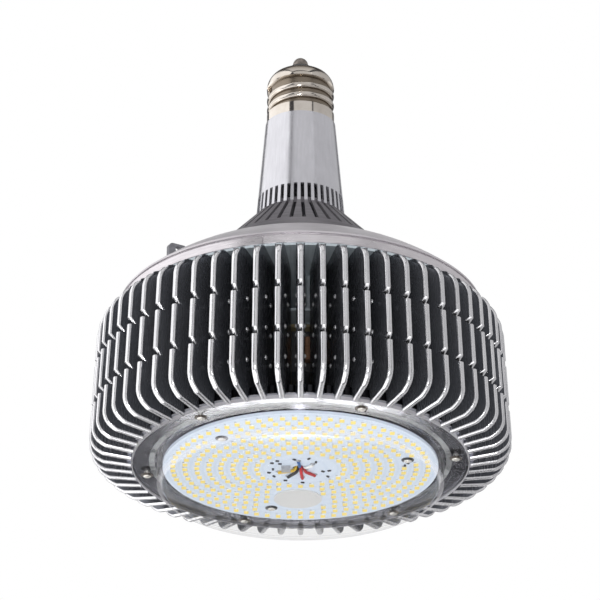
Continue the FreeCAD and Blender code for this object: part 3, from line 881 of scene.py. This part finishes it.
def fin_blank():
    """Sheet with thickness and pips, as one mesh along +X; only the outside of the web and the pips are marked."""
    sheet = mesh_from(fin_sheet_form(), "fin_sheet")
    outside = len(sheet.data.polygons)
    thick = sheet.modifiers.new("sheet", "SOLIDIFY")
    thick.thickness = fin_sheet
    thick.offset = -1.0
    thick.thickness_clamp = 1.0
    form = evaluated_form(sheet)
    web_mark = form.faces.layers.float["web"]
    form.faces.ensure_lookup_table()
    for face in form.faces[outside:]:
        face[web_mark] = wall_number
    plain = set(form.faces)
    for r, z in pip_places:
        for side in (-fin_half, fin_half):
            bmesh.ops.create_uvsphere(form, u_segments=8, v_segments=6, radius=pip_r,
                                      matrix=Matrix.Translation((r, side, z)) @ Matrix.Rotation(math.pi / 2, 4, "X"))
    for face in form.faces:
        if face not in plain:
            face[web_mark] = pip_number
    bmesh.ops.triangulate(form, faces=[f for f in form.faces if len(f.verts) > 4])
    shade_smooth(form, fin_crease)
    return mesh_from(form, "fin_blank")


fin = fin_blank()
print("one fin:", len(fin.data.polygons), "faces")

# %% [markdown]
# ## The ring of fins
# Sixty copies stand round the axis, the first one straight in front of the camera. The metal is the same all over,
# but the walls only ever face each other and lie in shade, so the finish paints them far darker than the webs, which
# is painted shade. The web attribute that was written while folding carries that difference into the finish.

# %% Sixty fins
fin_count = 60
front_angle = math.radians(-90.0)
fin_grain = (1.0, 1.0, 0.05)


def ring_tree():
    tree, enter, leave = new_tree("ring_of_copies", [("Source", "NodeSocketObject"), ("Count", "NodeSocketInt"),
                                                     ("First angle", "NodeSocketFloat"),
                                                     ("Finish", "NodeSocketMaterial")])
    points = tree.nodes.new("GeometryNodePoints")
    tree.links.new(enter.outputs["Count"], points.inputs["Count"])
    index = tree.nodes.new("GeometryNodeInputIndex").outputs["Index"]
    share = math_node(tree, "DIVIDE", index, enter.outputs["Count"])
    angle = math_node(tree, "ADD", math_node(tree, "MULTIPLY", share, 2 * math.pi), enter.outputs["First angle"])
    place_copies(tree, enter, leave, points.outputs["Points"], turn_about_axis(tree, angle))
    return tree


def fin_aluminium():
    finish = Finish("fin_aluminium")
    mark = finish.mark("web")
    web = span(finish.tree, mark, wall_number, web_number)
    pip = span(finish.tree, mark, web_number, pip_number, 0.0, 0.3)
    grain = finish.group(GRAIN, Stretch=fin_grain, Scale=1500.0)["Grain"]
    mask = finish.group(SOILING, Scale=22.0, Amount=0.3)["Mask"]
    bright = finish.mix(finish.spread(grain), (0.88, 0.875, 0.89), (0.80, 0.795, 0.815))
    # Painted shade: the walls take this dark tone because the neighbouring fins shade them; their metal is the same as
    # the webs'.
    shaded = finish.mix(finish.spread(grain), (0.15, 0.16, 0.18), (0.12, 0.125, 0.145))
    finish.link(finish.mix(mask, finish.mix(web, shaded, bright), (0.30, 0.30, 0.32)), "Base Color")
    finish.link(span(finish.tree, web, 0.0, 1.0, 0.7, 1.0), "Metallic")
    worn = finish.calc("ADD", finish.spread(grain, 0.18, 0.28), finish.calc("MULTIPLY", mask, 0.25))
    finish.link(finish.calc("ADD", worn, pip), "Roughness")
    finish.bump(grain, 0.12, fine_depth)
    return finish


ring = ring_tree()
fins = grow("folded_fins", ring, fin, fin_aluminium(), **{"Count": fin_count, "First angle": front_angle})
bpy.data.objects.remove(fin)
settle(fins, "fin_aluminium", "cooling_fins")

# %% [markdown]
# ## LEDs in rings
# The board carries eight rings of small LED packages, all lying the same way. One rule makes them: a long row of
# points is dealt out to the rings, and each ring keeps about as many as fit its length, an even number in one ring and
# an odd number in the next. Those that would lie under the frosted blank or a screw are dropped. The same tree runs
# three times, for the white bodies, the yellow phosphor and the tinned pads at the ends of each package.

# %% LEDs in rings
led_rings = 8
led_most = 80
led_clear = 2.6 * MM


def led_tree():
    tree, enter, leave = new_tree("led_rings", [("Source", "NodeSocketObject"), ("Rings", "NodeSocketInt"),
                                                ("First ring", "NodeSocketFloat"), ("Ring step", "NodeSocketFloat"),
                                                ("Board", "NodeSocketFloat"), ("Keep out", "NodeSocketObject"),
                                                ("Finish", "NodeSocketMaterial")])

    def calc(operation, first, second=None):
        return math_node(tree, operation, first, second)

    points = tree.nodes.new("GeometryNodePoints")
    tree.links.new(calc("MULTIPLY", enter.outputs["Rings"], led_most), points.inputs["Count"])
    index = tree.nodes.new("GeometryNodeInputIndex").outputs["Index"]
    ring_number = calc("FLOOR", calc("DIVIDE", index, led_most))
    seat = calc("MODULO", index, led_most)
    radius = calc("ADD", enter.outputs["First ring"], calc("MULTIPLY", ring_number, enter.outputs["Ring step"]))
    half = calc("ROUND", calc("DIVIDE", calc("MULTIPLY", radius, math.pi), enter.outputs["Ring step"]))
    fits = calc("ADD", calc("ADD", half, half), calc("MODULO", ring_number, 2.0))
    angle = calc("ADD", calc("MULTIPLY", calc("DIVIDE", seat, fits), 2 * math.pi), math.pi / 2)
    place = tree.nodes.new("ShaderNodeCombineXYZ")
    tree.links.new(calc("MULTIPLY", radius, calc("COSINE", angle)), place.inputs["X"])
    tree.links.new(calc("MULTIPLY", radius, calc("SINE", angle)), place.inputs["Y"])
    tree.links.new(enter.outputs["Board"], place.inputs["Z"])
    tree.links.new(place.outputs["Vector"], points.inputs["Position"])

    keep_out = tree.nodes.new("GeometryNodeObjectInfo")
    tree.links.new(enter.outputs["Keep out"], keep_out.inputs["Object"])
    near = tree.nodes.new("GeometryNodeProximity")
    near.target_element = "FACES"
    tree.links.new(keep_out.outputs["Geometry"], near.inputs["Geometry"])
    tree.links.new(place.outputs["Vector"], near.inputs["Sample Position"])
    covered = calc("LESS_THAN", near.outputs["Distance"], led_clear)
    beyond = calc("GREATER_THAN", seat, calc("SUBTRACT", fits, 0.5))
    spare = tree.nodes.new("GeometryNodeDeleteGeometry")
    spare.domain = "POINT"
    tree.links.new(calc("MAXIMUM", beyond, covered), spare.inputs["Selection"])
    tree.links.new(points.outputs["Points"], spare.inputs["Geometry"])
    place_copies(tree, enter, leave, spare.outputs["Geometry"])
    return tree


rings = led_tree()
print("tree", rings.name, "deals out", led_rings * led_most, "points")

# %% [markdown]
# ## One LED package
# A package is a white moulded body with a yellow phosphor window, soldered on two pads that peep out at its ends. Each
# of these is a cube stretched with bmesh, and the body and the window are chamfered too, because modifiers on so small
# a block would only cost time.

# %% One LED package
body_size, body_tall = (2.9 * MM, 4.2 * MM), 0.7 * MM
phosphor_size, phosphor_top, phosphor_tall = (2.6 * MM, 3.9 * MM), -0.5 * MM, 0.28 * MM
pad_size, pad_tall, pad_place = (1.2 * MM, 0.5 * MM), 0.1 * MM, (0.9 * MM, 2.3 * MM)


def slab(form, size, depth, top=0.0, middle=(0.0, 0.0), chamfer=0.0):
    """Small block that hangs down from its top, with chamfers on the edges that reach its lower face."""
    made = bmesh.ops.create_cube(form, size=1.0)["verts"]
    shape = Matrix.Translation((*middle, top - depth / 2)) @ Matrix.Diagonal((*size, depth, 1.0))
    bmesh.ops.transform(form, matrix=shape, verts=made)
    if chamfer:
        lower = [e for e in form.edges if all(v in made for v in e.verts)
                 and any(v.co.z < top - depth / 2 for v in e.verts)]
        bmesh.ops.bevel(form, geom=lower, offset=chamfer, segments=1, affect="EDGES")


def led_parts():
    body, phosphor, pads = bmesh.new(), bmesh.new(), bmesh.new()
    slab(body, body_size, body_tall, chamfer=0.2 * MM)
    slab(phosphor, phosphor_size, phosphor_tall, top=phosphor_top, chamfer=0.12 * MM)
    for side in (-1, 1):
        slab(pads, pad_size, pad_tall, middle=(side * pad_place[0], side * pad_place[1]))
    return mesh_from(body, "one_body"), mesh_from(phosphor, "one_phosphor"), mesh_from(pads, "one_pad")


tinned_pad = grained("tinned_pad", (0.45, 0.47, 0.50), (0.33, 0.35, 0.38), 0.6, (0.35, 0.5), even_grain, 900.0)
led_finishes = (
    grained("led_body", (0.80, 0.80, 0.78), (0.72, 0.72, 0.70), 0.0, (0.35, 0.5), even_grain, 900.0),
    grained("led_phosphor", (1.0, 0.82, 0.24), (1.0, 0.77, 0.18), 0.0, (0.4, 0.55), even_grain, 700.0, soil=0.1),
    tinned_pad,
)
print("LED package", [round(side / MM, 1) for side in body_size], "mm")

# %% [markdown]
# ## LEDs on the board
# The keep-out is a hidden set of discs, one under the frosted blank and one at each board screw. The tree measures the
# distance from every place to it, so the gap in the rows follows when a screw moves. It goes when the LEDs are made.

# %% LEDs on the board
board_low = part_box("led_board")[0]
blank_low, blank_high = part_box("sensor_blank")
blank_middle = (blank_low + blank_high) / 2
screw_clear = 5.8 * MM
board_screw_r = 60.0 * MM
board_screw_angles = [math.radians(a) for a in (225.0, 106.0, -12.0)]


def disc(form, place, radius, sides=24):
    made = bmesh.ops.create_circle(form, cap_ends=True, segments=sides, radius=radius)["verts"]
    bmesh.ops.transform(form, matrix=Matrix.Translation(place), verts=made)


def round_place(radius, angle, height):
    return radius * math.cos(angle), radius * math.sin(angle), height


def keep_out_form():
    form = bmesh.new()
    disc(form, (blank_middle.x, blank_middle.y, board_low.z), blank_high.x - blank_middle.x)
    for angle in board_screw_angles:
        disc(form, round_place(board_screw_r, angle, board_low.z), screw_clear - led_clear)
    return form


keep_out = mesh_from(keep_out_form(), "keep_out")
for name, source, finish, slot in zip(("led_bodies", "led_phosphor", "led_pads"), led_parts(), led_finishes,
                                      ("white_board", "beige_casing", "dull_aluminium")):
    piece = grow(name, rings, source, finish, **{
        "Rings": led_rings, "First ring": led_first_ring, "Ring step": led_ring_step,
        "Board": board_low.z, "Keep out": keep_out})
    bpy.data.objects.remove(source)
    settle(piece, slot)
bpy.data.objects.remove(keep_out)

# %% [markdown]
# ## One screw
# Six pan-head screws hold the lens and three hold the board. A profile is spun to a shank, a thin washer and a domed
# head, and a cross recess is punched in with two Boolean cuts, which is shorter than modelling the cross by hand. A
# number on the faces tells the middle of the head from its edge and washer, which the finish paints dark as painted
# shade.

# %% One screw
screw_r = 1.5 * MM
shank_top = 3.5 * MM
head_r = 2.4 * MM
head_bottom = -1.55 * MM
washer_r = 3.5 * MM
washer_thick = 0.25 * MM
dome_profile = [(r * MM, z * MM) for r, z in ((2.2, -0.9), (1.8, -1.2), (1.3, -1.4), (0.7, -1.52))]
head_profile = [(screw_r, shank_top), (screw_r, 0.0), (washer_r, 0.0), (washer_r, -washer_thick),
                (head_r, -washer_thick), (head_r, -0.6 * MM), *dome_profile]
rim_r = 2.25 * MM
recess_size = (1.9 * MM, 0.5 * MM, 0.9 * MM)
screw_crease = 34.0


def screw_form(sides=24):
    form = bmesh.new()
    rings = [[form.verts.new(round_place(r, 2 * math.pi * i / sides, z)) for i in range(sides)]
             for r, z in head_profile]
    top = form.verts.new((0.0, 0.0, shank_top))
    bottom = form.verts.new((0.0, 0.0, head_bottom))
    for i in range(sides):
        j = (i + 1) % sides
        for above, below in zip(rings, rings[1:]):
            form.faces.new((above[i], below[i], below[j], above[j]))
        form.faces.new((rings[0][i], rings[0][j], top))
        form.faces.new((rings[-1][j], rings[-1][i], bottom))
    bmesh.ops.recalc_face_normals(form, faces=form.faces)
    return form


def cross_headed_screw():
    screw = mesh_from(screw_form(), "screw")
    cutters = []
    for turned_by in (0.0, math.pi / 2):
        form = bmesh.new()
        made = bmesh.ops.create_cube(form, size=1.0)["verts"]
        shape = Matrix.Rotation(turned_by, 4, "Z") @ Matrix.Translation((0.0, 0.0, head_bottom))
        bmesh.ops.transform(form, matrix=shape @ Matrix.Diagonal((*recess_size, 1.0)), verts=made)
        cutters.append(mesh_from(form, "recess"))
        punch = screw.modifiers.new("recess", "BOOLEAN")
        punch.object = cutters[-1]
        punch.solver = "EXACT"
    form = evaluated_form(screw)
    for cutter in cutters:
        bpy.data.objects.remove(cutter)
    shade_ring_mark = form.faces.layers.float.new("rim")
    for face in form.faces:
        face[shade_ring_mark] = float(face.calc_center_median().xy.length > rim_r)
    shade_smooth(form, screw_crease)
    return mesh_from(form, "screw")


screw = cross_headed_screw()
print("one screw:", len(screw.data.polygons), "faces")

# %% [markdown]
# ## Screws in place
# Each screw gets a turn of its own, because nobody lines screws up by hand. The turns come from a Random Value node
# with a fixed seed, so that every run gives the same picture.

# %% Screws in place
flange_thick = 2.0 * MM
flange_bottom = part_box("lens")[1].z - flange_thick
lens_screw_r = 86.0 * MM
lens_screw_count, lens_screw_first = 6, -8.0
lens_screw_angles = [math.radians(lens_screw_first + 360.0 * i / lens_screw_count) for i in range(lens_screw_count)]
lens_screw_seed, board_screw_seed = 3, 8


def ringed_screw(name, metallic, painted_shade_tone):
    """Bright in the middle, with the outer ring and washer painted dark as painted shade."""
    finish = Finish(name, metallic=metallic)
    grain = finish.group(GRAIN, Stretch=even_grain, Scale=1800.0)["Grain"]
    bright = finish.mix(grain, (0.84, 0.82, 0.78), (0.70, 0.68, 0.64))
    finish.link(finish.mix(finish.mark("rim"), bright, painted_shade_tone), "Base Color")
    finish.link(finish.spread(grain, 0.2, 0.34), "Roughness")
    return finish


def places_tree():
    tree, enter, leave = new_tree("copies_at_places", [("Source", "NodeSocketObject"), ("Places", "NodeSocketObject"),
                                                       ("Seed", "NodeSocketInt"), ("Finish", "NodeSocketMaterial")])
    places = tree.nodes.new("GeometryNodeObjectInfo")
    tree.links.new(enter.outputs["Places"], places.inputs["Object"])
    chance = tree.nodes.new("FunctionNodeRandomValue")
    chance.data_type = "FLOAT"
    most, seed = [s for s in chance.inputs if s.enabled and s.name in ("Max", "Seed")]
    most.default_value = 2 * math.pi
    tree.links.new(enter.outputs["Seed"], seed)
    value = [s for s in chance.outputs if s.enabled][0]
    place_copies(tree, enter, leave, places.outputs["Geometry"], turn_about_axis(tree, value))
    return tree


def grow_at(name, places, source, finish, seed):
    marks = new_mesh_object(name + "_places", places, [])
    piece = grow(name, at_places, source, finish, Places=marks, Seed=seed)
    bpy.data.objects.remove(marks)
    return piece


at_places = places_tree()
# The outer ring and washer of each head take a dark tone as painted shade: brown on the lens screws, near black on the
# board screws.
lens_heads = grow_at("lens_screw_heads", [round_place(lens_screw_r, a, flange_bottom) for a in lens_screw_angles],
                     screw, ringed_screw("lens_screw", 0.9, (0.16, 0.14, 0.125)), lens_screw_seed)
board_heads = grow_at("board_screw_heads", [round_place(board_screw_r, a, board_low.z) for a in board_screw_angles],
                      screw, ringed_screw("board_screw", 0.4, (0.06, 0.06, 0.065)), board_screw_seed)
bpy.data.objects.remove(screw)
settle(lens_heads, "bright_screw", "lens_screws")
settle(board_heads, "bright_screw", "board_screws")

# %% [markdown]
# ## Small parts on the board
# Chip resistors sit round the wires and in a group near the right edge, and every wire ends in a drop of solder. They
# are tiny, but the dark specks break up the white centre of the board, so their places follow the photo.

# %% Chips and solder
# Places on the board in millimetres, and the wires' angles with the radius at which each one ends
chip_places = ((-12.7, -11.3), (-11.3, -7.2), (-15.7, -8.3), (-15.2, 0.4), (-17.4, 5.2), (-14.7, 10.5), (-3.4, -13.3),
               (4.6, -14.5), (8.5, -9.6), (12.4, 3.4), (15.9, 2.5), (15.2, 10.8), (-8.4, 16.4), (1.2, 19.5),
               (57.4, -5.0), (58.9, -8.4), (62.6, -5.6))
wire_ends = ((163.0, 12.9), (124.0, 12.5), (85.0, 12.1), (46.0, 11.5), (-45.0, 9.5), (-96.0, 11.1))
chip_size, chip_tall = (2.0 * MM, 1.2 * MM), 0.6 * MM
drop_r, drop_tall = 1.5 * MM, 0.7 * MM
small_part_seed = 5


def chip_form():
    form = bmesh.new()
    slab(form, chip_size, chip_tall, chamfer=0.12 * MM)
    return form


def solder_form():
    form = bmesh.new()
    bmesh.ops.create_uvsphere(form, u_segments=12, v_segments=8, radius=1.0)
    bmesh.ops.transform(form, matrix=Matrix.Diagonal((drop_r, drop_r, drop_tall, 1.0)), verts=form.verts)
    for face in form.faces:
        face.smooth = True
    return form


chip_spots = [(x * MM, y * MM, board_low.z) for x, y in chip_places]
solder_spots = [round_place(r * MM, math.radians(a), board_low.z) for a, r in wire_ends]
for name, places, form, finish, slot in (
        ("board_chips", chip_spots, chip_form(), small_finishes["dark_ferrite"], "dark_ferrite"),
        ("wire_solder", solder_spots, solder_form(), tinned_pad, "dull_aluminium")):
    source = mesh_from(form, name + "_one")
    piece = grow_at(name, places, source, finish, small_part_seed)
    bpy.data.objects.remove(source)
    settle(piece, slot)
